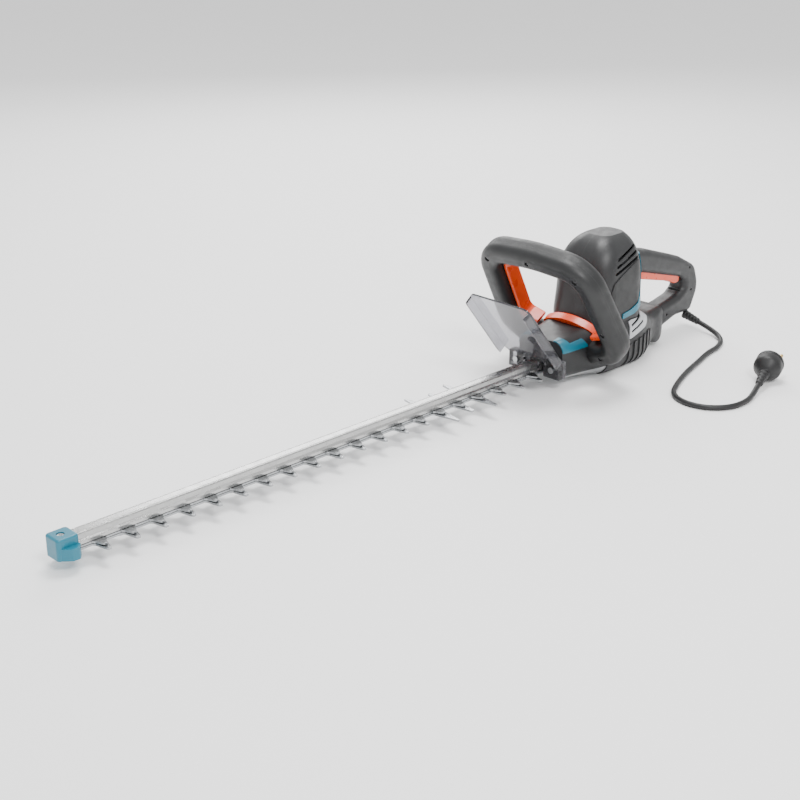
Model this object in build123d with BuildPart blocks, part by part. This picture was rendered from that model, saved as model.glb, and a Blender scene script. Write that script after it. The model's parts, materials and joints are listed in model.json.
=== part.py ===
from build123d import *
import os
from math import cos, pi, radians, sin, tan

# Mains hedge trimmer, in millimetres. +X runs from the blade tip to the rear handle, +Z is up,
# and the origin is on the ground under the middle of the tool. Y = 0 is the plane of symmetry.

# ---------------------------------------------------------------- driving dimensions
overall_length = 1054.0
tip_x = -overall_length / 2
rear_x = overall_length / 2

# cutting blades
tooth_pitch = 34.0
tooth_count = 20
first_tooth_x = -480.0
blade_thickness = 2.2
blade_gap = 0.6
blade_mid_z = 20.0
blade_half_width = 11.0
lower_tooth_reach = 29.7
upper_tooth_reach = 23.0
long_tooth_reach = 46.6
middle_tooth_reach = 38.0
blade_front_x = -506.0
blade_tail_x = 243.5
lower_blade_z = blade_mid_z - blade_gap / 2 - blade_thickness
upper_blade_z = blade_mid_z + blade_gap / 2

# drive: two opposed eccentrics under a spur gear push the blades to and fro
gear_x = 262.0
gear_module = 1.25
gear_teeth = 60
pinion_teeth = 12
gear_thickness = 8.0
gear_z = 28.0
motor_x = gear_x + gear_module * (gear_teeth + pinion_teeth) / 2
shaft_radius = 5.0
eccentric_radius = 14.0
eccentric_throw = 7.2
running_clearance = 0.05
bush_radius = 7.5
slider_ratio = 0.725 * eccentric_throw  # millimetres of blade travel for each radian of the gear
blade_travel = slider_ratio * radians(90)
yoke_play = 1.6

# blade support, rail and bolts
bolt_xs = [-450.0 + 140.0 * i for i in range(5)]
bolt_radius = 3.0
spacer_radius = 3.6
slot_half_width = 4.0
support_bar_z = upper_blade_z + blade_thickness + 0.5
support_bar_height = 4.0
support_bar_half_width = 7.6
rail_front_x = -505.0
rail_rear_x = 206.0
rail_top_z = 33.9
rail_top_half_width = 7.3
rail_foot_half_width = 10.6
rail_wall = 1.5

# gear housing and motor tower
wall = 3.0
nose_x = 198.0
cover_rear_x = 274.0
body_rear_x = 440.0
hull_stations = [  # x, low z, high z, half width, corner radius
    (nose_x, 10.0, 61.0, 36.0, 14.0),
    (216.0, 9.0, 64.0, 40.0, 16.0),
    (238.0, 7.0, 66.0, 44.0, 20.0),
    (256.0, 4.0, 69.0, 47.0, 22.0),
    (276.0, 0.0, 73.0, 49.0, 23.0),
    (310.0, -0.8, 76.0, 50.0, 23.0),
    (345.0, -0.8, 74.0, 49.0, 21.0),
    (375.0, 2.5, 65.0, 41.0, 18.0),
    (405.0, 9.0, 54.0, 28.0, 13.0),
    (body_rear_x, 15.5, 51.0, 17.0, 10.0),
]
tower_stations = [  # z, front x, rear x, half width, corner radius
    (60.0, 260.0, 359.0, 44.0, 26.0),
    (95.0, 261.0, 360.0, 46.0, 27.0),
    (125.0, 264.0, 359.0, 45.5, 27.0),
    (150.0, 270.0, 356.0, 42.5, 25.0),
    (168.0, 281.0, 350.0, 34.0, 21.0),
    (180.0, 297.0, 342.0, 19.0, 14.0),
]

# front loop handle, in a plane that leans forward
loop_lean = radians(30.0)
loop_top = Vector(179.0, 0.0, 173.5)
loop_plane = Plane(
    origin=loop_top,
    x_dir=(0, 1, 0),
    z_dir=(cos(loop_lean), 0, sin(loop_lean)),
)
loop_depth = 34.0
loop_width = 30.0
loop_route = [(44.0, -152.0), (90.0, -142.0), (79.0, -4.0), (0.0, 3.0)]
loop_radii = [30.0, 36.0, 250.0]
bar_route = [(46.0, -130.0), (68.8, -121.0), (61.4, -23.2), (0.0, -16.6)]
bar_radii = [12.0, 17.0, 250.0]
bar_width = 7.0
bar_depth = 21.0
bar_offset = 8.0
bar_travel = 3.0

# rear D handle
handle_half_width = 15.5
handle_wall = 3.0
trigger_half_width = 9.6
trigger_pivot = (380.0, 119.0)
trigger_swing = 4.0

# hand guard
guard_foot = Vector(190.0, 0.0, 34.0)
guard_head = Vector(112.0, 0.0, 131.0)
guard_half_width = 50.0
guard_thickness = 2.4
guard_flange = 13.0

# mains cord
cord_radius = 3.5
cord_section = pi * cord_radius**2
cord_route = [
    (514.0, -28.0, 14.5),
    (514.5, -54.0, 7.6),
    (499.0, -79.0, 3.9),
    (470.0, -92.0, 3.7),
    (441.0, -95.0, 3.7),
    (400.0, -107.0, 3.7),
    (358.0, -118.0, 3.7),
    (317.0, -133.0, 3.7),
    (281.0, -150.0, 3.7),
    (266.0, -178.0, 3.7),
    (272.0, -209.0, 3.7),
    (297.0, -229.0, 3.7),
    (328.0, -231.0, 3.7),
    (352.0, -224.5, 4.3),
    (374.0, -217.5, 9.6),
]
plug_radius = 18.5

os.makedirs("parts", exist_ok=True)


def write(piece, name):
    """Label a finished piece and write it as one STEP file."""
    piece.part.label = name
    export_step(piece.part, f"parts/{name}.step")


def arc_radii(points):
    """Radius of the tangent arc at each inner point: 0.45 of the shorter run over tan of half the turn."""
    radii = []
    for before, here, after in zip(points, points[1:], points[2:]):
        first = Vector(*here) - Vector(*before)
        second = Vector(*after) - Vector(*here)
        half_turn = radians(first.get_angle(second)) / 2
        radii.append(0.45 * min(first.length, second.length) / tan(half_turn))
    return radii


def mirrored_route(points):
    """A route given from its foot to the middle, made whole about Y = 0."""
    return points + [(-y, v) for y, v in reversed(points[:-1])]


def mirrored_radii(radii):
    return radii + list(reversed(radii[:-1]))


# ---------------------------------------------------------------- shared outer forms
def hull_form(grow=0.0):
    """The lower body: a boat-shaped loft along X from the nose to the foot of the rear handle."""
    with BuildPart() as form:
        for x, low, high, half, corner in hull_stations:
            with BuildSketch(Plane.YZ.offset(x)):
                with Locations((0, (low + high) / 2)):
                    RectangleRounded(2 * (half + grow), high - low + 2 * grow, corner + grow)
        loft()
    return form.part


def tower_form(grow=0.0):
    """The motor tower: rounded sections that narrow into a dome."""
    with BuildPart() as form:
        for z, front, rear, half, corner in tower_stations:
            top_growth = grow if z == tower_stations[-1][0] else 0.0
            with BuildSketch(Plane.XY.offset(z + top_growth)):
                with Locations(((front + rear) / 2, 0)):
                    RectangleRounded(rear - front + 2 * grow, 2 * (half + grow), corner + grow)
        loft()
    return form.part


def half_space(x_range, y_range, z_range):
    """A plain box between the given limits, used to divide or trim the shells."""
    with BuildPart() as block:
        with Locations((sum(x_range) / 2, sum(y_range) / 2, sum(z_range) / 2)):
            Box(x_range[1] - x_range[0], y_range[1] - y_range[0], z_range[1] - z_range[0])
    return block.part


def loop_sweep(route, radii, depth, width, corner, offset):
    """A rounded bar swept round the loop; offset moves its middle behind the loop's plane."""
    plane = loop_plane.offset(offset)
    with BuildPart() as bar:
        with BuildLine(plane) as path:
            FilletPolyline(*mirrored_route(route), radius=mirrored_radii(radii))
        start = Plane(origin=path.line @ 0, x_dir=plane.z_dir, z_dir=path.line % 0)
        with BuildSketch(start):
            RectangleRounded(depth, width, corner)
        sweep(path=path.line)
    return bar.part


everything = (-100.0, 100.0)
hull_outer = hull_form()
tower_outer = tower_form()
tower_inner = tower_form(-wall)

# the hollow inside, closed at the nose and on the ground
with BuildPart() as hull_inner:
    add(hull_form(-wall))
    add(half_space((0, nose_x + wall), everything, (-50, 200)), mode=Mode.SUBTRACT)

# the room for the rail and the blades through the nose
nose_channel = half_space((160, 206), (-rail_foot_half_width - 1.2, rail_foot_half_width + 1.2), (10, 35.5))

# ---------------------------------------------------------------- blades
tooth_xs = [first_tooth_x + tooth_pitch * i for i in range(tooth_count)]
long_teeth = (14, 16)
middle_tooth = 15


def tooth_outline(x, reach, base, tip, side):
    """One tooth as a polygon that tapers from the blade's edge to a blunt or pointed tip."""
    root = side * (blade_half_width - 1.0)
    shoulder = side * (blade_half_width + 2.5)
    return [
        (x - base / 2 - 2.0, root),
        (x - base / 2 + 1.0, shoulder),
        (x - tip / 2, side * (reach - 1.2)),
        (x - tip / 2 + 1.0, side * reach),
        (x + tip / 2 - 1.0, side * reach),
        (x + tip / 2, side * (reach - 1.2)),
        (x + base / 2 - 1.0, shoulder),
        (x + base / 2 + 2.0, root),
    ]


def blade(bottom_z, reaches):
    """A toothed blade with running slots and a drive yoke; reaches gives each tooth's half width."""
    slot_length = 2 * (blade_travel + spacer_radius + 1.4)
    yoke_inner_x = 2 * (eccentric_radius + yoke_play)
    yoke_inner_y = 2 * (eccentric_radius + eccentric_throw + 1.0)
    yoke_rim = 5.0
    with BuildPart() as piece:
        with BuildSketch(Plane.XY.offset(bottom_z)):
            with Locations(((blade_front_x + blade_tail_x) / 2, 0)):
                Rectangle(blade_tail_x - blade_front_x, 2 * blade_half_width)
            with Locations((gear_x, 0)):
                RectangleRounded(yoke_inner_x + 2 * yoke_rim, yoke_inner_y + 2 * yoke_rim, 9.0)
            for x, reach in zip(tooth_xs, reaches):
                pointed = reach == long_tooth_reach
                for side in (1, -1):
                    outline = tooth_outline(x, reach, 17.0 if pointed else 14.0, 2.6 if pointed else 5.0, side)
                    with BuildLine():
                        Polyline(*outline, close=True)
                    make_face()
            with Locations(*[(x, 0) for x in bolt_xs]):
                SlotOverall(slot_length, 2 * slot_half_width, mode=Mode.SUBTRACT)
            with Locations((gear_x, 0)):
                RectangleRounded(yoke_inner_x, yoke_inner_y, 4.0, mode=Mode.SUBTRACT)
        extrude(amount=blade_thickness)
    return piece


lower_reaches = [lower_tooth_reach] * tooth_count
lower_reaches[middle_tooth] = middle_tooth_reach
for index in long_teeth:
    lower_reaches[index] = long_tooth_reach
upper_reaches = [upper_tooth_reach] * tooth_count
write(blade(lower_blade_z, lower_reaches), "lower_blade")
write(blade(upper_blade_z, upper_reaches), "upper_blade")

# ---------------------------------------------------------------- rail, support bar, bolts, tip guard
rail_outline = [
    (rail_foot_half_width, upper_blade_z + blade_thickness + 0.5),
    (rail_foot_half_width, 26.4),
    (rail_top_half_width + 0.9, 28.2),
    (rail_top_half_width, rail_top_z - 1.2),
    (rail_top_half_width - 1.2, rail_top_z),
]
with BuildPart() as blade_guide_rail:
    with BuildSketch(Plane.YZ.offset(rail_front_x)):
        with BuildLine():
            Polyline(*rail_outline, *[(-y, z) for y, z in reversed(rail_outline)], close=True)
        make_face()
        inner_outline = [
            (rail_foot_half_width - rail_wall, rail_outline[0][1] - 1.0),
            (rail_foot_half_width - rail_wall, 27.2),
            (rail_top_half_width - rail_wall, 29.4),
            (rail_top_half_width - rail_wall, rail_top_z - rail_wall),
        ]
        with BuildLine():
            Polyline(*inner_outline, *[(-y, z) for y, z in reversed(inner_outline)], close=True)
        make_face(mode=Mode.SUBTRACT)
        with Locations((4.6, rail_top_z), (-4.6, rail_top_z)):
            Rectangle(0.8, 1.0, mode=Mode.SUBTRACT)
    extrude(amount=rail_rear_x - rail_front_x)
write(blade_guide_rail, "blade_guide_rail")

with BuildPart() as blade_support_bar:
    with BuildSketch(Plane.XY.offset(support_bar_z)):
        with Locations(((rail_front_x + rail_rear_x) / 2 + 5.0, 0)):
            Rectangle(rail_rear_x - rail_front_x - 10.0, 2 * support_bar_half_width)
        with Locations(*[(x, 0) for x in bolt_xs]):
            Circle(bolt_radius, mode=Mode.SUBTRACT)
    extrude(amount=support_bar_height)
write(blade_support_bar, "blade_support_bar")

washer_thickness = 1.2
head_height = 3.0
washer_z = lower_blade_z - 0.4 - washer_thickness
spacer_top = support_bar_z
with BuildPart() as blade_bolts:
    with Locations(*[(x, 0, washer_z - head_height) for x in bolt_xs]):
        Cylinder(5.2, head_height, align=(Align.CENTER, Align.CENTER, Align.MIN))
        Cylinder(bolt_radius, 17.6, align=(Align.CENTER, Align.CENTER, Align.MIN))
    with BuildSketch(Plane.XY.offset(washer_z - head_height)):
        with Locations(*[(x, 0) for x in bolt_xs]):
            RegularPolygon(2.4, 6)
    extrude(amount=1.8, mode=Mode.SUBTRACT)
write(blade_bolts, "blade_bolts")

with BuildPart() as blade_bolt_washers:
    with BuildSketch(Plane.XY.offset(washer_z)):
        with Locations(*[(x, 0) for x in bolt_xs]):
            Circle(7.4)
            Circle(bolt_radius, mode=Mode.SUBTRACT)
    extrude(amount=washer_thickness)
write(blade_bolt_washers, "blade_bolt_washers")

with BuildPart() as blade_bolt_spacers:
    with BuildSketch(Plane.XY.offset(washer_z + washer_thickness)):
        with Locations(*[(x, 0) for x in bolt_xs]):
            Circle(spacer_radius)
            Circle(bolt_radius, mode=Mode.SUBTRACT)
    extrude(amount=spacer_top - washer_z - washer_thickness)
write(blade_bolt_spacers, "blade_bolt_spacers")

with BuildPart() as blade_bolt_nuts:
    with BuildSketch(Plane.XY.offset(support_bar_z + support_bar_height)):
        with Locations(*[(x, 0) for x in bolt_xs]):
            RegularPolygon(4.6, 6, major_radius=False)
            Circle(bolt_radius, mode=Mode.SUBTRACT)
    extrude(amount=3.6)
write(blade_bolt_nuts, "blade_bolt_nuts")

tip_rear_x = -502.0
tip_screw_x = -516.0
tip_bottom_z = 13.6
tip_top_z = 36.6
with BuildPart() as tip_guard:
    with BuildSketch(Plane.XY.offset(tip_bottom_z)) as tip_plan:
        with BuildLine():
            Polyline(
                (tip_rear_x, -13.0),
                (tip_rear_x, 13.0),
                (tip_rear_x - 5.0, 19.5),
                (tip_rear_x - 13.0, 19.5),
                (tip_x, 9.0),
                (tip_x, -9.0),
                (tip_rear_x - 13.0, -19.5),
                (tip_rear_x - 5.0, -19.5),
                close=True,
            )
        make_face()
        fillet(tip_plan.vertices(), 2.5)
    extrude(amount=26.4 - tip_bottom_z)
    with BuildSketch(Plane.XY.offset(tip_bottom_z)) as tip_crown:
        with Locations(((tip_x + tip_rear_x) / 2, 0)):
            RectangleRounded(tip_rear_x - tip_x, 2 * rail_foot_half_width + 3.0, 4.0)
    extrude(amount=tip_top_z - tip_bottom_z)
    fillet(tip_guard.edges().group_by(Axis.Z)[-1], 2.5)
    with BuildSketch(Plane.XY.offset(lower_blade_z - 0.5)):
        with Locations((tip_rear_x - 4.0, 0)):
            Rectangle(26.0, 2 * blade_half_width + 1.0)
    extrude(amount=2 * blade_thickness + blade_gap + 1.0, mode=Mode.SUBTRACT)
    add(blade_guide_rail.part, mode=Mode.SUBTRACT)
    with Locations((tip_screw_x, 0, tip_top_z)):
        Hole(4.2, 3.0)
        Hole(1.8, 11.0)
write(tip_guard, "tip_guard")

with BuildPart() as tip_guard_screw:
    with Locations((tip_screw_x, 0, tip_top_z - 10.9)):
        Cylinder(1.8, 9.0, align=(Align.CENTER, Align.CENTER, Align.MIN))
    with Locations((tip_screw_x, 0, tip_top_z - 3.0)):
        Cylinder(3.8, 2.0, align=(Align.CENTER, Align.CENTER, Align.MIN))
    with BuildSketch(Plane.XY.offset(tip_top_z - 1.0)):
        with Locations((tip_screw_x, 0)):
            Rectangle(4.6, 0.9)
            Rectangle(0.9, 4.6)
    extrude(amount=-1.2, mode=Mode.SUBTRACT)
write(tip_guard_screw, "tip_guard_screw")


# ---------------------------------------------------------------- lower housing
base_plate_z = 15.0
sled_front_x = 276.0
sled_side = [(sled_front_x, -5.0), (sled_front_x, base_plate_z), (290.0, 30.0), (374.0, 42.0), (392.0, 35.0), (398.0, -5.0)]


def side_prism(points, y_range=everything):
    """An outline in the XZ plane, extruded across the tool."""
    with BuildPart() as prism:
        with BuildSketch(Plane.XZ.offset(-y_range[1])):
            with BuildLine():
                Polyline(*points, close=True)
            make_face()
        extrude(amount=y_range[1] - y_range[0])
    return prism.part


sled_zone = side_prism(sled_side)
plate_zone = half_space((100, sled_front_x), everything, (-50, base_plate_z))
ground = half_space((0, 600), everything, (-50, 0))

with BuildPart() as sled_skin:
    add(hull_outer)
    add(sled_zone, mode=Mode.INTERSECT)

with BuildPart() as base_sled:
    add(hull_form(1.6))
    add(sled_zone, mode=Mode.INTERSECT)
    for i in range(6):
        add(half_space((312.5 + 12 * i, 319.0 + 12 * i), everything, (4.0, 60.0)), mode=Mode.SUBTRACT)
    add(sled_skin.part)
    add(hull_inner.part, mode=Mode.SUBTRACT)
    add(ground, mode=Mode.SUBTRACT)
write(base_sled, "base_sled")

with BuildPart() as gear_base_plate:
    add(hull_outer)
    add(plate_zone, mode=Mode.INTERSECT)
    add(hull_inner.part, mode=Mode.SUBTRACT)
    add(nose_channel, mode=Mode.SUBTRACT)
    with Locations((gear_x, 0, 5.0)):
        Cylinder(9.0, 9.0, align=(Align.CENTER, Align.CENTER, Align.MIN))
    with Locations((gear_x, 0, 8.0)):
        Cylinder(bush_radius, 20.0, align=(Align.CENTER, Align.CENTER, Align.MIN), mode=Mode.SUBTRACT)
write(gear_base_plate, "gear_base_plate")

with BuildPart() as gear_housing_cover:
    add(hull_outer)
    add(hull_inner.part, mode=Mode.SUBTRACT)
    add(sled_zone, mode=Mode.SUBTRACT)
    add(plate_zone, mode=Mode.SUBTRACT)
    add(half_space((cover_rear_x, 600), everything, (-50, 200)), mode=Mode.SUBTRACT)
    add(tower_outer, mode=Mode.SUBTRACT)
    add(nose_channel, mode=Mode.SUBTRACT)
write(gear_housing_cover, "gear_housing_cover")

# ---------------------------------------------------------------- motor housing halves
vent_direction = (cos(radians(17)), 0, sin(radians(17)))


def vent_bars(count, first, step, length, growth, height):
    """Slot-shaped bars right across the housing, one below another, that cut slanted vents."""
    with BuildPart() as bars:
        for i in range(count):
            centre = (first[0] + step[0] * i, 0, first[1] + step[1] * i)
            place = Plane(origin=centre, x_dir=vent_direction, z_dir=(0, 1, 0))
            with BuildSketch(place.offset(-60)):
                SlotOverall(length + growth * i, height)
            extrude(amount=120)
    return bars.part


cap_vents = vent_bars(3, (317.0, 159.0), (-1.5, -8.0), 44.0, 4.0, 3.8)
louvre_vents = vent_bars(2, (336.0, 64.0), (1.0, -8.0), 28.0, 2.0, 3.4)

hull_rear = half_space((cover_rear_x, 600), everything, (-50, 200))
with BuildPart() as body_solid:
    add(hull_outer)
    add(hull_rear, mode=Mode.INTERSECT)
    add(sled_zone, mode=Mode.SUBTRACT)
    add(plate_zone, mode=Mode.SUBTRACT)
    add(tower_outer)
with BuildPart() as body_shell:
    add(body_solid.part)
    add(hull_inner.part, mode=Mode.SUBTRACT)
    add(tower_inner, mode=Mode.SUBTRACT)
    add(cap_vents, mode=Mode.SUBTRACT)
    add(louvre_vents, mode=Mode.SUBTRACT)

sides = {"left": 1, "right": -1}
for side_name, side in sides.items():
    half = half_space((100, 600), (0, 200) if side > 0 else (-200, 0), (-50, 300))
    with BuildPart() as motor_housing:
        add(body_shell.part)
        add(half, mode=Mode.INTERSECT)
    write(motor_housing, f"motor_housing_{side_name}")

# ---------------------------------------------------------------- side plates that lie on the shells
panel_outline = [(284.0, 84.0), (282.0, 114.0), (286.0, 124.0), (302.0, 133.0), (341.0, 149.0), (344.0, 108.0), (338.0, 92.0), (318.0, 84.0)]
stripe_outline = [
    (346.0, 152.0), (349.5, 125.0), (346.0, 100.0), (338.0, 88.0), (322.0, 82.0), (306.0, 79.5),
    (306.0, 72.5), (330.0, 75.0), (352.0, 84.0), (366.0, 100.0), (366.0, 154.0),
]
louvre_outline = [(319.0, 42.0), (319.0, 66.0), (352.0, 75.0), (368.0, 62.0), (356.0, 51.0)]
trim_outline = [(190.0, 48.0), (240.0, 51.0), (234.0, 61.0), (212.0, 59.0), (203.0, 72.0), (190.0, 72.0)]


def skin_plate(form, base, outline, side, corner):
    """A thin plate of the given outline, lying on one side of the base solid."""
    reach = (20.0, 90.0) if side > 0 else (-90.0, -20.0)
    with BuildPart() as plate:
        with BuildSketch(Plane.XZ.offset(-reach[1])) as sketch:
            with BuildLine():
                Polyline(*outline, close=True)
            make_face()
            fillet(sketch.vertices(), corner)
        extrude(amount=reach[1] - reach[0])
        add(form, mode=Mode.INTERSECT)
        for solid in base:
            add(solid, mode=Mode.SUBTRACT)
    return plate


tower_plus = tower_form(1.3)
hull_plus = hull_form(1.4)
for side_name, side in sides.items():
    write(skin_plate(tower_plus, [tower_outer, hull_outer], panel_outline, side, 4.0), f"motor_side_panel_{side_name}")
    write(skin_plate(tower_plus, [tower_outer, hull_outer], stripe_outline, side, 1.2), f"motor_side_stripe_{side_name}")
    write(skin_plate(hull_plus, [hull_outer, tower_plus, louvre_vents], louvre_outline, side, 1.5), f"exhaust_louvre_{side_name}")

with BuildPart() as nose_trims:
    for side in sides.values():
        add(skin_plate(hull_plus, [hull_outer], trim_outline, side, 1.5).part)
write(nose_trims, "nose_trims")

# ---------------------------------------------------------------- drive gear and eccentrics
def spur_gear(centre_x, teeth, bottom_z, height, bore, turn):
    """A spur gear with straight-flanked teeth, cut short enough to run with backlash."""
    pitch_radius = gear_module * teeth / 2
    root_radius = pitch_radius - 1.6
    tip_radius = pitch_radius + 0.82
    with BuildPart() as gear:
        with BuildSketch(Plane.XY.offset(bottom_z)):
            with Locations((centre_x, 0)):
                Circle(root_radius)
                with PolarLocations(0, teeth, start_angle=turn):
                    with BuildLine(mode=Mode.PRIVATE) as flank:
                        Polyline(
                            (root_radius - 0.6, -0.95),
                            (tip_radius, -0.4),
                            (tip_radius, 0.4),
                            (root_radius - 0.6, 0.95),
                            close=True,
                        )
                    add(make_face(flank.line.edges(), mode=Mode.PRIVATE))
                Circle(bore, mode=Mode.SUBTRACT)
        extrude(amount=height)
    return gear


drive_gear = spur_gear(gear_x, gear_teeth, gear_z, gear_thickness, shaft_radius, 0.0)
with BuildPart() as drive_gear_cut:
    add(drive_gear.part)
    with BuildSketch(Plane.XY.offset(gear_z)):
        with Locations((gear_x, 0)):
            with PolarLocations(23.0, 6):
                Circle(6.0)
    extrude(amount=gear_thickness, mode=Mode.SUBTRACT)
write(drive_gear_cut, "drive_gear")
write(spur_gear(motor_x, pinion_teeth, gear_z - 1.0, 10.0, 4.0, 15.0), "motor_pinion")

gear_shaft_bottom = 8.5
gear_shaft_top = 50.0
with BuildPart() as gear_shaft:
    with Locations((gear_x, 0, gear_shaft_bottom)):
        Cylinder(shaft_radius, gear_shaft_top - gear_shaft_bottom, align=(Align.CENTER, Align.CENTER, Align.MIN))
    chamfer(gear_shaft.edges().filter_by(GeomType.CIRCLE), 0.5)
write(gear_shaft, "gear_shaft")


def eccentric(bottom_z, top_z, throw):
    """A round eccentric on the gear shaft, with its middle a throw away from the shaft along Y."""
    with BuildPart() as disc:
        with BuildSketch(Plane.XY.offset(bottom_z)):
            with Locations((gear_x, throw)):
                Circle(eccentric_radius)
            with Locations((gear_x, 0)):
                Circle(shaft_radius, mode=Mode.SUBTRACT)
        extrude(amount=top_z - bottom_z)
    return disc


write(eccentric(blade_mid_z, gear_z, eccentric_throw), "upper_eccentric")
write(eccentric(lower_blade_z - 0.8, blade_mid_z, -eccentric_throw), "lower_eccentric")

frame_z = 42.0
frame_thickness = 5.0
rotor_radius = 4.0
bearing_radius = 9.5
with BuildPart() as gear_frame:
    add(half_space((214, 352), everything, (frame_z, frame_z + frame_thickness)))
    add(hull_inner.part, mode=Mode.INTERSECT)
    with Locations((motor_x, 0, frame_z + frame_thickness)):
        Cylinder(bearing_radius + 3.0, 4.0, align=(Align.CENTER, Align.CENTER, Align.MIN))
    with Locations((gear_x, 0, frame_z)):
        Cylinder(bush_radius, 20.0, mode=Mode.SUBTRACT)
    with Locations((motor_x, 0, frame_z)):
        Cylinder(bearing_radius, 40.0, mode=Mode.SUBTRACT)
write(gear_frame, "gear_frame")

with BuildPart() as gear_shaft_bushes:
    for bottom, height in ((gear_shaft_bottom, 5.0), (frame_z, 7.0)):
        with BuildSketch(Plane.XY.offset(bottom)):
            with Locations((gear_x, 0)):
                Circle(bush_radius)
                Circle(shaft_radius + running_clearance, mode=Mode.SUBTRACT)
        extrude(amount=height)
write(gear_shaft_bushes, "gear_shaft_bushes")

# ---------------------------------------------------------------- motor
stator_z = 78.0
stator_height = 38.0
armature_radius = 19.5
stator_radius = 37.0
commutator_z = 126.0
rotor_top_z = 160.0


def motor_cylinder(radius, bottom, height):
    """A cylinder on the motor's axis."""
    with Locations((motor_x, 0, bottom)):
        Cylinder(radius, height, align=(Align.CENTER, Align.CENTER, Align.MIN))


with BuildPart() as rotor_shaft:
    motor_cylinder(rotor_radius, 25.0, rotor_top_z - 25.0)
    chamfer(rotor_shaft.edges().filter_by(GeomType.CIRCLE), 0.4)
write(rotor_shaft, "rotor_shaft")

with BuildPart() as motor_armature:
    motor_cylinder(armature_radius, stator_z, stator_height)
    with BuildSketch(Plane.XY.offset(stator_z)):
        with Locations((motor_x, 0)):
            with PolarLocations(armature_radius - 1.6, 12):
                SlotOverall(5.0, 2.0)
    extrude(amount=stator_height, mode=Mode.SUBTRACT)
    motor_cylinder(armature_radius - 5.0, stator_z - 7.0, stator_height + 14.0)
    with Locations((motor_x, 0, stator_z)):
        Cylinder(rotor_radius, 200.0, mode=Mode.SUBTRACT)
write(motor_armature, "motor_armature")

with BuildPart() as commutator:
    motor_cylinder(11.0, commutator_z, 14.0)
    with BuildSketch(Plane.XY.offset(commutator_z)):
        with Locations((motor_x, 0)):
            with PolarLocations(11.0, 24):
                Rectangle(1.6, 0.5)
    extrude(amount=14.0, mode=Mode.SUBTRACT)
    with Locations((motor_x, 0, commutator_z)):
        Cylinder(rotor_radius, 60.0, mode=Mode.SUBTRACT)
write(commutator, "commutator")

fan_z = 56.0
with BuildPart() as cooling_fan:
    motor_cylinder(34.0, fan_z, 2.0)
    motor_cylinder(8.0, fan_z, 12.0)
    with BuildSketch(Plane.XY.offset(fan_z)):
        with Locations((motor_x, 0)):
            with PolarLocations(22.0, 11):
                Rectangle(20.0, 1.4, rotation=24)
    extrude(amount=11.0)
    with Locations((motor_x, 0, fan_z)):
        Cylinder(rotor_radius, 60.0, mode=Mode.SUBTRACT)
write(cooling_fan, "cooling_fan")

with BuildPart() as motor_stator:
    motor_cylinder(stator_radius, stator_z, stator_height)
    with BuildSketch(Plane.XY.offset(stator_z)):
        with Locations((motor_x, 0)):
            Circle(armature_radius + 0.6)
        for y in (-24.0, 24.0):
            with Locations((motor_x, y)):
                RectangleRounded(34.0, 9.0, 3.0)
    extrude(amount=stator_height, mode=Mode.SUBTRACT)
write(motor_stator, "motor_stator")

with BuildPart() as field_windings:
    with BuildSketch(Plane.XY.offset(stator_z - 8.0)):
        for y in (-25.0, 25.0):
            with Locations((motor_x, y)):
                RectangleRounded(30.0, 6.0, 2.0)
    extrude(amount=stator_height + 14.0)
write(field_windings, "field_windings")


bearing_height = 7.0


def bearing(bottom, height):
    with BuildPart() as ring:
        with BuildSketch(Plane.XY.offset(bottom)):
            with Locations((motor_x, 0)):
                Circle(bearing_radius)
                Circle(rotor_radius + running_clearance, mode=Mode.SUBTRACT)
        extrude(amount=height)
    return ring


with BuildPart() as motor_bearings:
    add(bearing(frame_z + 1.0, bearing_height).part)
    add(bearing(148.0, bearing_height).part)
write(motor_bearings, "motor_bearings")

with BuildPart() as bearing_bridge:
    add(half_space((motor_x - 13.5, motor_x + 13.5), everything, (146.5, 152.5)))
    motor_cylinder(bearing_radius + 2.5, 146.5, 9.0)
    add(tower_inner, mode=Mode.INTERSECT)
    with Locations((motor_x, 0, 150.0)):
        Cylinder(bearing_radius, 60.0, mode=Mode.SUBTRACT)
write(bearing_bridge, "bearing_bridge")

brush_z = commutator_z + 7.0
with BuildPart() as brush_holders:
    for side in (1, -1):
        with Locations((motor_x, side * 24.0, brush_z)):
            Box(13.0, 18.0, 11.0)
            Box(7.0, 30.0, 6.0, mode=Mode.SUBTRACT)
write(brush_holders, "brush_holders")

with BuildPart() as carbon_brushes:
    for side in (1, -1):
        with Locations((motor_x, side * 19.5, brush_z)):
            Box(6.8, 16.0, 5.8)
write(carbon_brushes, "carbon_brushes")

# ---------------------------------------------------------------- rear D handle
handle_outline = [  # x, z, corner radius
    (346.0, 152.0, 0.0),
    (410.0, 138.5, 60.0),
    (480.0, 115.5, 60.0),
    (517.5, 96.0, 20.0),
    (rear_x + 3.0, 64.0, 36.0),
    (513.0, 27.5, 12.0),
    (478.0, 28.0, 30.0),
    (425.0, 13.0, 0.0),
    (425.0, 50.0, 0.0),
    (455.0, 54.0, 60.0),
    (479.0, 59.0, 10.0),
    (491.0, 67.0, 4.5),
    (491.0, 77.0, 4.5),
    (480.0, 85.0, 8.0),
    (403.0, 106.5, 60.0),
    (346.0, 121.0, 0.0),
]
handle_rounding = 10.0
trigger_slot_front = 371.0
trigger_slot_rear = 488.0
screw_radius = 1.8
boss_radius = 4.2


def handle_form(inset, rounding):
    """The D handle's solid: its outline in the XZ plane, rounded along both sides."""
    half = handle_half_width - inset
    with BuildPart() as form:
        with BuildSketch(Plane.XZ.offset(-half)):
            with BuildLine():
                FilletPolyline(
                    *[(x, z) for x, z, radius in handle_outline],
                    radius=[radius for x, z, radius in handle_outline],
                    close=True,
                )
            make_face()
            if inset:
                offset(amount=-inset)
        extrude(amount=2 * half)
        side_faces = form.faces().filter_by(Axis.Y)
        fillet(side_faces.edges(), rounding)
    return form.part


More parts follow.
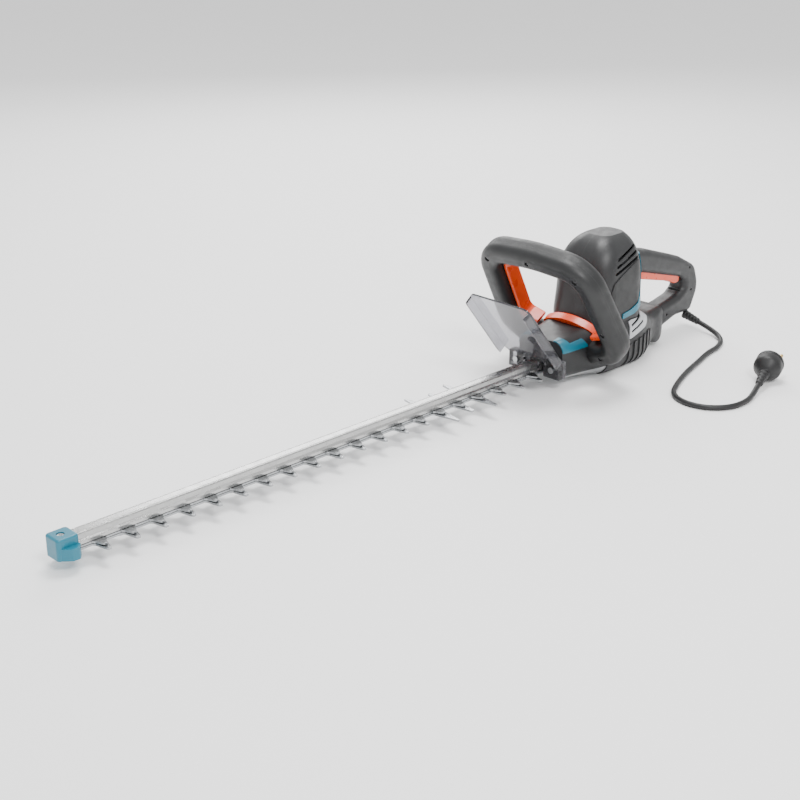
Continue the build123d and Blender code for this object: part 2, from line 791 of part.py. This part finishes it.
handle_outer = handle_form(0.0, handle_rounding)
handle_inner = handle_form(handle_wall, 6.0)
handle_screw_places = [(507.0, 62.0), (452.0, 37.0), (500.0, 96.0)]
trigger_slot = side_prism(
    [
        (trigger_slot_front, 128.0),
        (trigger_slot_front, 90.0),
        (460.0, 66.0),
        (trigger_slot_rear, 62.0),
        (trigger_slot_rear, 94.0),
        (470.0, 106.0),
    ],
    (-trigger_half_width - 0.6, trigger_half_width + 0.6),
)

with BuildPart() as handle_shell:
    add(handle_outer)
    add(handle_inner, mode=Mode.SUBTRACT)
    with BuildSketch(Plane.XZ.offset(-12.6)):
        with Locations(*handle_screw_places):
            Circle(boss_radius)
    extrude(amount=25.2)
    with BuildSketch(Plane.XZ.offset(-8.0)):
        with Locations(*handle_screw_places):
            Circle(screw_radius)
    extrude(amount=30.0, mode=Mode.SUBTRACT, both=True)
    with BuildSketch(Plane.XZ.offset(-handle_half_width - 1.0)):
        with Locations(*handle_screw_places):
            Circle(3.4)
    extrude(amount=4.0, mode=Mode.SUBTRACT)
    with BuildSketch(Plane.XZ.offset(-handle_half_width)):
        with Locations((trigger_pivot[0], trigger_pivot[1])):
            Circle(2.0)
    extrude(amount=2 * handle_half_width, mode=Mode.SUBTRACT)
    add(trigger_slot, mode=Mode.SUBTRACT)
    add(hull_outer, mode=Mode.SUBTRACT)
    add(tower_outer, mode=Mode.SUBTRACT)
for side_name, side in sides.items():
    half = half_space((100, 600), (0, 200) if side > 0 else (-200, 0), (-50, 300))
    with BuildPart() as rear_handle:
        add(handle_shell.part)
        add(half, mode=Mode.INTERSECT)
    write(rear_handle, f"rear_handle_{side_name}")

with BuildPart() as handle_screws:
    with BuildSketch(Plane.XZ.offset(-handle_half_width + 3.0)):
        with Locations(*handle_screw_places):
            Circle(screw_radius)
    extrude(amount=20.0)
    with BuildSketch(Plane.XZ.offset(-handle_half_width + 1.0)):
        with Locations(*handle_screw_places):
            Circle(3.3)
    extrude(amount=2.0)
write(handle_screws, "handle_screws")

# ---------------------------------------------------------------- trigger and switch
with BuildPart() as rear_trigger:
    with BuildSketch(Plane.XZ.offset(-trigger_half_width)):
        with BuildLine():
            FilletPolyline(
                (374.0, 124.0), (386.0, 124.0), (403.0, 113.5), (470.0, 96.5), (481.0, 93.0), (484.5, 86.0),
                (483.5, 77.5), (474.0, 76.5), (459.0, 83.5), (403.0, 97.5), (380.0, 104.0), (374.0, 108.0),
                radius=[2.0, 2.0, 20.0, 0.0, 2.0, 3.0, 3.0, 6.0, 20.0, 20.0, 4.0, 2.0],
                close=True,
            )
        make_face()
    extrude(amount=2 * trigger_half_width)
    lower_edges = rear_trigger.faces().filter_by(Axis.Y).edges()
    fillet(lower_edges, 1.6)
    with BuildSketch(Plane.XZ.offset(-20)):
        with Locations(trigger_pivot):
            Circle(2.0 + running_clearance)
    extrude(amount=40, mode=Mode.SUBTRACT)
write(rear_trigger, "rear_trigger")

with BuildPart() as trigger_pin:
    with BuildSketch(Plane.XZ.offset(-handle_half_width + 0.6)):
        with Locations(trigger_pivot):
            Circle(2.0)
    extrude(amount=2 * handle_half_width - 1.2)
write(trigger_pin, "trigger_pin")

switch_x = 410.0
with BuildPart() as rear_switch:
    add(half_space((396, 424), (-8, 8), (121.0, 128.0)))
    with Locations((switch_x, 0, 124.0)):
        Cylinder(2.2, 14.0, mode=Mode.SUBTRACT)
    with Locations((402, 0, 128), (412, 0, 128)):
        Box(1.0, 6.0, 2.4, align=(Align.CENTER, Align.CENTER, Align.MIN))
write(rear_switch, "rear_switch")

with BuildPart() as switch_plunger:
    with Locations((switch_x, 0, 112.2)):
        Cylinder(2.0, 12.0, align=(Align.CENTER, Align.CENTER, Align.MIN))
write(switch_plunger, "switch_plunger")


def coil_spring(place, radius, wire, pitch, length):
    """A helical compression spring standing on a plane."""
    with BuildPart() as spring:
        with BuildLine(place) as coil:
            Helix(pitch, length, radius)
        with BuildSketch(Plane(origin=coil.line @ 0, z_dir=coil.line % 0)):
            Circle(wire)
        sweep(path=coil.line, is_frenet=True)
    return spring.part


with BuildPart() as trigger_spring:
    add(coil_spring(Plane.XY.offset(103.2).shift_origin((452.0, 0.0, 103.2)), 3.2, 0.5, 3.2, 14.4))
write(trigger_spring, "trigger_spring")

# ---------------------------------------------------------------- front loop handle
loop_outer = loop_sweep(loop_route, loop_radii, loop_depth, loop_width, 12.0, 0.0)
loop_inner = loop_sweep(loop_route, loop_radii, loop_depth - 6.0, loop_width - 6.0, 9.0, 0.0)
peg_v = -62.0
peg_radius = 3.0
peg_inner = 66.0
peg_outer = 79.0
peg_offset = bar_offset


def loop_slab(y_range, v_range, n_range):
    """A box in the loop's own directions: across, up the loop, and behind it."""
    with BuildPart() as slab:
        with BuildSketch(loop_plane.offset(n_range[0])):
            with Locations((sum(y_range) / 2, sum(v_range) / 2)):
                Rectangle(y_range[1] - y_range[0], v_range[1] - v_range[0])
        extrude(amount=n_range[1] - n_range[0])
    return slab.part


loop_screw_places = [(0.0, 2.0), (72.0, -9.0), (-72.0, -9.0), (86.0, -96.0), (-86.0, -96.0), (66.0, -146.0), (-66.0, -146.0)]
with BuildPart() as loop_shell:
    add(loop_outer)
    add(loop_inner, mode=Mode.SUBTRACT)
    with BuildSketch(loop_plane.offset(-14.5)):
        with Locations(*loop_screw_places):
            Circle(boss_radius)
    extrude(amount=29.0)
    with BuildSketch(loop_plane.offset(-18.0)):
        with Locations(*loop_screw_places):
            Circle(screw_radius)
    extrude(amount=24.0, mode=Mode.SUBTRACT)
    with BuildSketch(loop_plane.offset(-18.0)):
        with Locations(*loop_screw_places):
            Circle(3.4)
    extrude(amount=5.0, mode=Mode.SUBTRACT)
    for side in sides.values():
        y_range = sorted((side * 60.0, side * 80.0))
        slot_n = (peg_offset - peg_radius - bar_travel - 0.5, peg_offset + peg_radius + 0.5)
        add(loop_slab(y_range, (peg_v - 3.5, peg_v + 3.5), slot_n), mode=Mode.SUBTRACT)
    add(hull_outer, mode=Mode.SUBTRACT)

for name, n_range in (("front", (-60.0, 0.0)), ("rear", (0.0, 60.0))):
    with BuildPart() as front_handle_shell:
        add(loop_shell.part)
        add(loop_slab((-150, 150), (-250, 60), n_range), mode=Mode.INTERSECT)
    write(front_handle_shell, f"front_handle_{name}_shell")

with BuildPart() as front_handle_screws:
    with BuildSketch(loop_plane.offset(-13.0)):
        with Locations(*loop_screw_places):
            Circle(screw_radius)
    extrude(amount=16.0)
    with BuildSketch(loop_plane.offset(-15.0)):
        with Locations(*loop_screw_places):
            Circle(3.3)
    extrude(amount=2.0)
write(front_handle_screws, "front_handle_screws")

with BuildPart() as front_switch_bar:
    add(loop_sweep(bar_route, bar_radii, bar_depth, bar_width, 2.6, bar_offset))
    for side in sides.values():
        across = Plane(
            origin=loop_plane.offset(peg_offset).from_local_coords(Vector(side * peg_inner, peg_v, 0)),
            z_dir=(0, side, 0),
        )
        with BuildSketch(across):
            Circle(peg_radius)
        extrude(amount=peg_outer - peg_inner)
write(front_switch_bar, "front_switch_bar")

with BuildPart() as front_bar_springs:
    for side in sides.values():
        foot = loop_plane.offset(-8.6).from_local_coords(Vector(side * 76.6, peg_v, 0))
        add(coil_spring(Plane(origin=foot, z_dir=loop_plane.z_dir), 2.4, 0.45, 3.0, 12.6))
write(front_bar_springs, "front_bar_springs")

with BuildPart() as front_switch:
    add(loop_slab((80.6, 92.0), (-78.0, -46.0), (-9.0, 9.0)))
write(front_switch, "front_switch")

arch_foot = 44.0
with BuildPart() as front_arch_trim:
    arch_plane = loop_plane.offset(21.0)
    with BuildSketch(arch_plane):
        with BuildLine():
            ThreePointArc((-arch_foot, -133.0), (0.0, -119.5), (arch_foot, -133.0))
            Line((arch_foot, -133.0), (arch_foot, -147.0))
            ThreePointArc((arch_foot, -147.0), (0.0, -133.0), (-arch_foot, -147.0))
            Line((-arch_foot, -147.0), (-arch_foot, -133.0))
        make_face()
    extrude(amount=-12.0)
    fillet(front_arch_trim.edges().filter_by(GeomType.CIRCLE).group_by(Axis.Z)[-1], 2.0)
    add(hull_outer, mode=Mode.SUBTRACT)
    add(tower_outer, mode=Mode.SUBTRACT)
    add(loop_outer, mode=Mode.SUBTRACT)
write(front_arch_trim, "front_arch_trim")

# ---------------------------------------------------------------- hand guard
guard_up = (guard_head - guard_foot).normalized()
guard_plane = Plane(origin=guard_foot, x_dir=(0, 1, 0), z_dir=Vector(0, 1, 0).cross(guard_up))
guard_height = (guard_head - guard_foot).length
guard_outline = [
    (-38.0, -5.0, 6.0), (-guard_half_width, 16.0, 20.0), (-guard_half_width, guard_height, 11.0),
    (guard_half_width, guard_height, 11.0), (guard_half_width, 16.0, 20.0), (38.0, -5.0, 6.0),
]
with BuildPart() as hand_guard:
    with BuildSketch(guard_plane) as guard_face:
        with BuildLine():
            FilletPolyline(
                *[(y, t) for y, t, radius in guard_outline],
                radius=[radius for y, t, radius in guard_outline],
                close=True,
            )
        make_face()
    extrude(amount=-guard_flange)
    with BuildSketch(guard_plane.offset(-guard_thickness)) as guard_hollow:
        add(guard_face.sketch.moved(Location((0, 0, 0))), mode=Mode.PRIVATE)
        with Locations((0, guard_height / 2)):
            Rectangle(2 * guard_half_width - 2 * guard_thickness, guard_height + 30.0)
    extrude(amount=-guard_flange, mode=Mode.SUBTRACT)
    for side in sides.values():
        y_range = sorted((side * 17.0, side * 42.0))
        add(half_space((184.0, nose_x), y_range, (17.0, 40.0)))
    add(half_space((160, 240), (-rail_foot_half_width - 1.4, rail_foot_half_width + 1.4), (0, 37)), mode=Mode.SUBTRACT)
    add(half_space((nose_x, 240), everything, (0, 80)), mode=Mode.SUBTRACT)
    with BuildSketch(Plane.YZ.offset(170)):
        with Locations((30.0, 28.0), (-30.0, 28.0)):
            Circle(2.0)
    extrude(amount=60, mode=Mode.SUBTRACT)
write(hand_guard, "hand_guard")

with BuildPart() as hand_guard_screws:
    with BuildSketch(Plane.YZ.offset(182.0)):
        with Locations((30.0, 28.0), (-30.0, 28.0)):
            Circle(2.0)
    extrude(amount=nose_x - 182.0)
    with BuildSketch(Plane.YZ.offset(182.0)):
        with Locations((30.0, 28.0), (-30.0, 28.0)):
            Circle(4.0)
    extrude(amount=2.0)
write(hand_guard_screws, "hand_guard_screws")

# ---------------------------------------------------------------- cord and plug
cord_exit = Vector(*cord_route[0])
gland_length = 30.0
gland_axis = (Vector(*cord_route[1]) - cord_exit).normalized()
with BuildPart(Plane(origin=cord_exit, z_dir=-gland_axis)) as gland_cone:
    Cone(4.8, 7.2, gland_length, align=(Align.CENTER, Align.CENTER, Align.MIN))
with BuildPart() as cord_strain_relief:
    add(gland_cone.part)
    add(handle_outer, mode=Mode.SUBTRACT)
write(cord_strain_relief, "cord_strain_relief")

cord_radii = arc_radii(cord_route)
print("cord radii", [round(radius, 1) for radius in cord_radii])
with BuildPart() as mains_cord:
    with BuildLine() as cord_path:
        FilletPolyline(*cord_route, radius=cord_radii)
    with BuildSketch(Plane(origin=cord_path.line @ 0, z_dir=cord_path.line % 0)):
        Circle(cord_radius)
    sweep(path=cord_path.line)
write(mains_cord, "mains_cord")
cord_length = sum(edge.length for edge in cord_path.line.edges())
print("cord length", round(cord_length, 1), "volume over section", round(mains_cord.part.volume / cord_section, 1))

plug_axis = Vector(*cord_route[-1]) - Vector(*cord_route[-2])
plug_plane = Plane(origin=cord_route[-1], x_dir=plug_axis.normalized(), z_dir=plug_axis.cross(Vector(0, 0, 1)))
plug_length = 57.0
with BuildPart() as mains_plug:
    with BuildSketch(plug_plane):
        with BuildLine():
            Polyline(
                (0.0, 0.0), (0.0, 4.6), (24.0, 6.4), (30.0, 10.0), (37.0, 16.5), (40.0, plug_radius),
                (plug_length - 1.5, plug_radius), (plug_length, plug_radius - 1.5), (plug_length, 0.0),
                close=True,
            )
        make_face()
    revolve(axis=Axis(origin=cord_route[-1], direction=plug_axis))
write(mains_plug, "mains_plug")

with BuildPart() as plug_pins:
    pin_plane = Plane(
        origin=Vector(*cord_route[-1]) + plug_axis.normalized() * plug_length,
        x_dir=plug_plane.z_dir,
        z_dir=plug_axis,
    )
    with BuildSketch(pin_plane):
        with Locations((9.5, 0), (-9.5, 0)):
            Circle(2.4)
    extrude(amount=19.0)
write(plug_pins, "plug_pins")
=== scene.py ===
import json
import math

import bmesh
import bpy
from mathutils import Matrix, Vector


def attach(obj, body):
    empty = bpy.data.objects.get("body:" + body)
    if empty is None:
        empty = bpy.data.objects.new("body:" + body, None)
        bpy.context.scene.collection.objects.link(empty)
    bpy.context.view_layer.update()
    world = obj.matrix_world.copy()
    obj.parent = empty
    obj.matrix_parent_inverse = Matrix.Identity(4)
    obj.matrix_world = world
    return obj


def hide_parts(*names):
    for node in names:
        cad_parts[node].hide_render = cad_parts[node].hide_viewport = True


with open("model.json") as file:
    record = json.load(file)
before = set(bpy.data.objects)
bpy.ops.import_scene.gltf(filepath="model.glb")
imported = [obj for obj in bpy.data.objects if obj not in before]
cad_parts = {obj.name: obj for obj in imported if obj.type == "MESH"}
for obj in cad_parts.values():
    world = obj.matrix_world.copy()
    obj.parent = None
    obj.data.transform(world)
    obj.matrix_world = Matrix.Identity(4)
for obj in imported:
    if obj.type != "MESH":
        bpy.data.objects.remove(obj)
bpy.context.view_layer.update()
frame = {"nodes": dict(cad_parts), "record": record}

record = frame["record"]
nodes = frame["nodes"]
mm = 0.001

# ------------------------------------------------------------------ camera
camera_place = (-1.1175, -1.0954, 0.6686)
camera_direction = Vector((0.6442, 0.6652, -0.3777))
camera_lens_mm = 62.8
camera_sensor_mm = 36.0
camera_data = bpy.data.cameras.new("camera")
camera_data.lens = camera_lens_mm
camera_data.sensor_width = camera_sensor_mm
camera = bpy.data.objects.new("camera", camera_data)
bpy.context.scene.collection.objects.link(camera)
camera.location = camera_place
camera.rotation_euler = camera_direction.to_track_quat("-Z", "Y").to_euler()
bpy.context.scene.camera = camera


# ------------------------------------------------------------------ materials
class Finish:
    """A node material under construction, with a principled shader."""

    def __init__(self, name):
        self.material = bpy.data.materials.new(name)
        self.material.use_nodes = True
        self.tree = self.material.node_tree
        self.shader = self.tree.nodes["Principled BSDF"]
        self.place = self.node("ShaderNodeTexCoord").outputs["Object"]

    def node(self, kind, **settings):
        made = self.tree.nodes.new(kind)
        for key, value in settings.items():
            setattr(made, key, value)
        return made

    def join(self, source, target):
        self.tree.links.new(source, target)

    def noise(self, scale, detail=4.0, stretch=(1.0, 1.0, 1.0)):
        mapping = self.node("ShaderNodeMapping")
        mapping.inputs["Scale"].default_value = stretch
        self.join(self.place, mapping.inputs["Vector"])
        made = self.node("ShaderNodeTexNoise")
        made.inputs["Scale"].default_value = scale
        made.inputs["Detail"].default_value = detail
        self.join(mapping.outputs["Vector"], made.inputs["Vector"])
        return made.outputs["Fac"]

    def spread(self, source, low, high):
        made = self.node("ShaderNodeMapRange")
        made.inputs["From Min"].default_value = 0.3
        made.inputs["From Max"].default_value = 0.7
        made.inputs["To Min"].default_value = low
        made.inputs["To Max"].default_value = high
        self.join(source, made.inputs["Value"])
        return made.outputs["Result"]

    def edges(self, radius):
        """The edge-rounded normal, and a mask that is 1 along edges, where a painted highlight lightens the
        colour.
        """
        bevel = self.node("ShaderNodeBevel", samples=6)
        bevel.inputs["Radius"].default_value = radius
        geometry = self.node("ShaderNodeNewGeometry")
        dot = self.node("ShaderNodeVectorMath", operation="DOT_PRODUCT")
        self.join(bevel.outputs["Normal"], dot.inputs[0])
        self.join(geometry.outputs["Normal"], dot.inputs[1])
        mask = self.node("ShaderNodeMapRange")
        mask.inputs["From Min"].default_value = 0.98
        mask.inputs["From Max"].default_value = 0.80
        self.join(dot.outputs["Value"], mask.inputs["Value"])
        return bevel.outputs["Normal"], mask.outputs["Result"]

    def colour(self, base, highlight_colour, variation, mask, scale):
        patches = self.node("ShaderNodeMix", data_type="RGBA")
        patches.inputs["A"].default_value = (*[c * (1 - variation) for c in base], 1.0)
        patches.inputs["B"].default_value = (*[min(1.0, c * (1 + variation)) for c in base], 1.0)
        self.join(self.noise(scale), patches.inputs["Factor"])
        # painted highlight: along every edge the mask mixes in a lighter colour
        painted_highlight = self.node("ShaderNodeMix", data_type="RGBA")
        painted_highlight.inputs["B"].default_value = (*highlight_colour, 1.0)
        self.join(patches.outputs["Result"], painted_highlight.inputs["A"])
        self.join(mask, painted_highlight.inputs["Factor"])
        self.join(painted_highlight.outputs["Result"], self.shader.inputs["Base Color"])

    def bump(self, height, distance, strength, normal):
        made = self.node("ShaderNodeBump")
        made.inputs["Distance"].default_value = distance
        made.inputs["Strength"].default_value = strength
        self.join(height, made.inputs["Height"])
        self.join(normal, made.inputs["Normal"])
        self.join(made.outputs["Normal"], self.shader.inputs["Normal"])


patch_scale = 25.0
smudge_scale = 90.0
grain_height = 0.25 * mm


def finish(
    name, base, roughness, grain, grain_mm=0.8,
    metal=0.0, stretch=(1, 1, 1), edge_mm=0.5, variation=0.06,
):
    """Moulded or metal finish: grain is the bump's strength, roughness a low and a high value."""
    made = Finish(name)
    normal, mask = made.edges(edge_mm * mm)
    # a lighter colour for the edges, painted as a highlight
    highlight_colour = [min(1.0, c * 1.25 + 0.015) for c in base]
    made.colour(base, highlight_colour, variation, mask, patch_scale)
    made.join(made.spread(made.noise(smudge_scale), *roughness), made.shader.inputs["Roughness"])
    made.bump(made.noise(1.0 / (grain_mm * mm), 3.0, stretch), grain_height, grain, normal)
    made.shader.inputs["Metallic"].default_value = metal
    return made


def coated(made, weight, roughness):
    made.shader.inputs["Coat Weight"].default_value = weight
    made.shader.inputs["Coat Roughness"].default_value = roughness
    return made


guard_finish = finish("guard_plastic", (0.40, 0.40, 0.43), (0.03, 0.07), 0.03, 6.0)
guard_finish.shader.inputs["Transmission Weight"].default_value = 0.93
guard_finish.shader.inputs["IOR"].default_value = 1.4

along_x = (0.04, 1.0, 1.0)
along_y = (1.0, 0.05, 1.0)
finishes = {
    "dark_plastic": finish("dark_plastic", (0.012, 0.0125, 0.0135), (0.36, 0.50), 0.6, 0.8),
    "grip_plastic": finish("grip_plastic", (0.008, 0.0085, 0.009), (0.38, 0.54), 0.8, 1.0),
    "orange_plastic": coated(finish("orange_plastic", (0.74, 0.055, 0.001), (0.25, 0.36), 0.15, 1.4), 0.25, 0.15),
    "teal_plastic": coated(finish("teal_plastic", (0.0, 0.14, 0.21), (0.3, 0.42), 0.2, 1.2), 0.15, 0.25),
    "silver_plastic": finish("silver_plastic", (0.50, 0.51, 0.53), (0.3, 0.4), 0.15, 0.5, 0.35),
    "guard_plastic": guard_finish,
    "rail_aluminium": finish("rail_aluminium", (0.46, 0.46, 0.455), (0.2, 0.34), 0.3, 0.5, 1.0, along_x),
    "blade_steel": finish("blade_steel", (0.34, 0.35, 0.36), (0.14, 0.34), 0.35, 0.5, 1.0, along_y, 0.35, 0.22),
    "screw_steel": finish("screw_steel", (0.45, 0.46, 0.47), (0.28, 0.4), 0.2, 0.6, 1.0),
    "gear_steel": finish("gear_steel", (0.36, 0.37, 0.38), (0.3, 0.45), 0.2, 0.6, 1.0),
    "cast_alloy": finish("cast_alloy", (0.52, 0.53, 0.54), (0.45, 0.6), 0.5, 1.0, 1.0),
    "motor_iron": finish("motor_iron", (0.22, 0.22, 0.23), (0.5, 0.65), 0.4, 0.5, 0.9),
    "copper_wire": finish("copper_wire", (0.60, 0.24, 0.08), (0.3, 0.45), 0.8, 0.8, 0.9, along_y),
    "brass_metal": finish("brass_metal", (0.72, 0.52, 0.22), (0.25, 0.4), 0.15, 0.6, 1.0),
    "black_rubber": finish("black_rubber", (0.004, 0.004, 0.0045), (0.42, 0.58), 0.35, 0.6),
    "black_plastic": finish("black_plastic", (0.022, 0.023, 0.025), (0.35, 0.5), 0.35, 0.7),
    "carbon": finish("carbon", (0.02, 0.02, 0.02), (0.6, 0.75), 0.5, 0.4),
}


def paint(obj, slot):
    obj.data.materials.clear()
    obj.data.materials.append(finishes[slot].material)


for part in record["subparts"]:
    paint(nodes[part["node"]], part["material_slot"])

# ------------------------------------------------------------------ cord, plug and strain relief
cord_route = [
    (0.514, -0.028, 0.0145),
    (0.5145, -0.054, 0.0076),
    (0.499, -0.079, 0.0039),
    (0.470, -0.092, 0.0037),
    (0.441, -0.095, 0.0037),
    (0.400, -0.107, 0.0037),
    (0.358, -0.118, 0.0037),
    (0.317, -0.133, 0.0037),
    (0.281, -0.150, 0.0037),
    (0.266, -0.178, 0.0037),
    (0.272, -0.209, 0.0037),
    (0.297, -0.229, 0.0037),
    (0.328, -0.231, 0.0037),
    (0.352, -0.2245, 0.0043),
    (0.374, -0.2175, 0.0096),
]
cord_radius = 3.5 * mm
cord_curve = bpy.data.curves.new("mains_lead", "CURVE")
cord_curve.dimensions = "3D"
spline = cord_curve.splines.new("NURBS")
spline.points.add(len(cord_route) - 1)
for point, place in zip(spline.points, cord_route):
    point.co = (*place, 1.0)
spline.order_u = 3
spline.use_endpoint_u = True
spline.resolution_u = 16
cord_curve.bevel_depth = cord_radius
cord_curve.bevel_resolution = 8
cord_curve.use_fill_caps = True
cord = bpy.data.objects.new("mains_lead", cord_curve)
bpy.context.scene.collection.objects.link(cord)
paint(cord, "black_rubber")


def lathe(name, profile, origin, axis, slot, sides=64):
    """A turned piece: profile is (along, radius) pairs from origin along axis."""
    mesh = bpy.data.meshes.new(name)
    form = bmesh.new()
    turn = axis.to_track_quat("Z", "Y")
    rings = []
    for along, radius in profile:
        ring = []
        for k in range(sides):
            angle = 2 * math.pi * k / sides
            local = Vector((radius * math.cos(angle), radius * math.sin(angle), along))
            ring.append(form.verts.new(origin + turn @ local))
        rings.append(ring)
    for near, far in zip(rings, rings[1:]):
        for k in range(sides):
            form.faces.new((near[k], near[(k + 1) % sides], far[(k + 1) % sides], far[k]))
    form.faces.new(rings[0][::-1])
    form.faces.new(rings[-1])
    bmesh.ops.recalc_face_normals(form, faces=form.faces)
    form.to_mesh(mesh)
    form.free()
    for face in mesh.polygons:
        face.use_smooth = len(face.vertices) == 4
    obj = bpy.data.objects.new(name, mesh)
    bpy.context.scene.collection.objects.link(obj)
    paint(obj, slot)
    return obj


def ribbed_taper(length, ribs, steps, radius, flare, depth):
    """Outline of a flexible boot that widens by flare, with grooves between its ribs."""
    outline = []
    for step in range(steps + 1):
        t = step / steps
        crest = 0.5 - 0.5 * math.cos(2 * math.pi * ribs * t)
        outline.append((t * length, radius + flare * t - depth * (1 - crest) ** 3))
    return outline


# the plug: a boot of four ribs, then a collar and a round body with a rolled edge
plug_start = Vector(cord_route[-1])
plug_axis = (plug_start - Vector(cord_route[-2])).normalized()
plug_profile = ribbed_taper(28 * mm, 4, 56, 4.7 * mm, 2.6 * mm, 0.9 * mm)
plug_profile += [(along * mm, radius * mm) for along, radius in (
    (28.5, 8.2), (30.0, 10.2), (33.0, 13.2), (36.5, 16.0), (38.5, 17.6), (40.5, 18.3),
    (43.0, 18.5), (50.0, 18.5), (50.4, 18.2), (51.0, 18.2), (51.4, 18.5), (55.2, 18.5),
    (56.2, 18.2), (56.8, 17.4), (57.0, 16.4),
)]
plug = lathe("plug_body", plug_profile, plug_start, plug_axis, "black_rubber")
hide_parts("mains_plug")
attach(plug, "trimmer")

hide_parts("mains_cord")
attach(cord, "trimmer")

# the strain relief where the cord leaves the handle
relief_axis = (Vector(cord_route[0]) - Vector(cord_route[1])).normalized()
relief_profile = ribbed_taper(26 * mm, 5, 52, 4.7 * mm, 2.0 * mm, 0.5 * mm)
relief = lathe("cord_relief", relief_profile, Vector(cord_route[0]), relief_axis, "black_rubber")
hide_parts("cord_strain_relief")
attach(relief, "trimmer")

# ------------------------------------------------------------------ floor and light
floor_half_size = 14.0
floor_mesh = bpy.data.meshes.new("floor")
floor_form = bmesh.new()
bmesh.ops.create_grid(floor_form, x_segments=1, y_segments=1, size=floor_half_size)
floor_form.to_mesh(floor_mesh)
floor_form.free()
floor = bpy.data.objects.new("floor", floor_mesh)
bpy.context.scene.collection.objects.link(floor)
floor_finish = Finish("floor_paper")
floor_finish.shader.inputs["Roughness"].default_value = 0.7
tone = floor_finish.node("ShaderNodeMix", data_type="RGBA")
tone.inputs["A"].default_value = (0.93, 0.93, 0.93, 1.0)
tone.inputs["B"].default_value = (0.95, 0.95, 0.95, 1.0)
floor_finish.join(floor_finish.noise(3.0), tone.inputs["Factor"])
floor_finish.join(tone.outputs["Result"], floor_finish.shader.inputs["Base Color"])
floor.data.materials.append(floor_finish.material)

world = bpy.data.worlds.new("studio")
world.use_nodes = True
world.node_tree.nodes["Background"].inputs["Color"].default_value = (1.0, 1.0, 1.0, 1.0)
world.node_tree.nodes["Background"].inputs["Strength"].default_value = 1.15
bpy.context.scene.world = world


def softbox(name, place, aim, power, width, height):
    data = bpy.data.lights.new(name, "AREA")
    data.shape = "RECTANGLE"
    data.size = width
    data.size_y = height
    data.energy = power
    lamp = bpy.data.objects.new(name, data)
    bpy.context.scene.collection.objects.link(lamp)
    lamp.location = place
    lamp.rotation_euler = (Vector(aim) - Vector(place)).to_track_quat("-Z", "Y").to_euler()


softbox("key", (-0.6, -1.6, 1.9), (0.1, 0, 0.05), 40.0, 0.8, 0.6)
softbox("top", (0.3, 0.3, 2.2), (0.1, 0, 0.0), 44.0, 1.0, 0.7)
softbox("rim", (1.3, 1.5, 1.2), (0.2, 0, 0.1), 26.0, 1.4, 0.9)
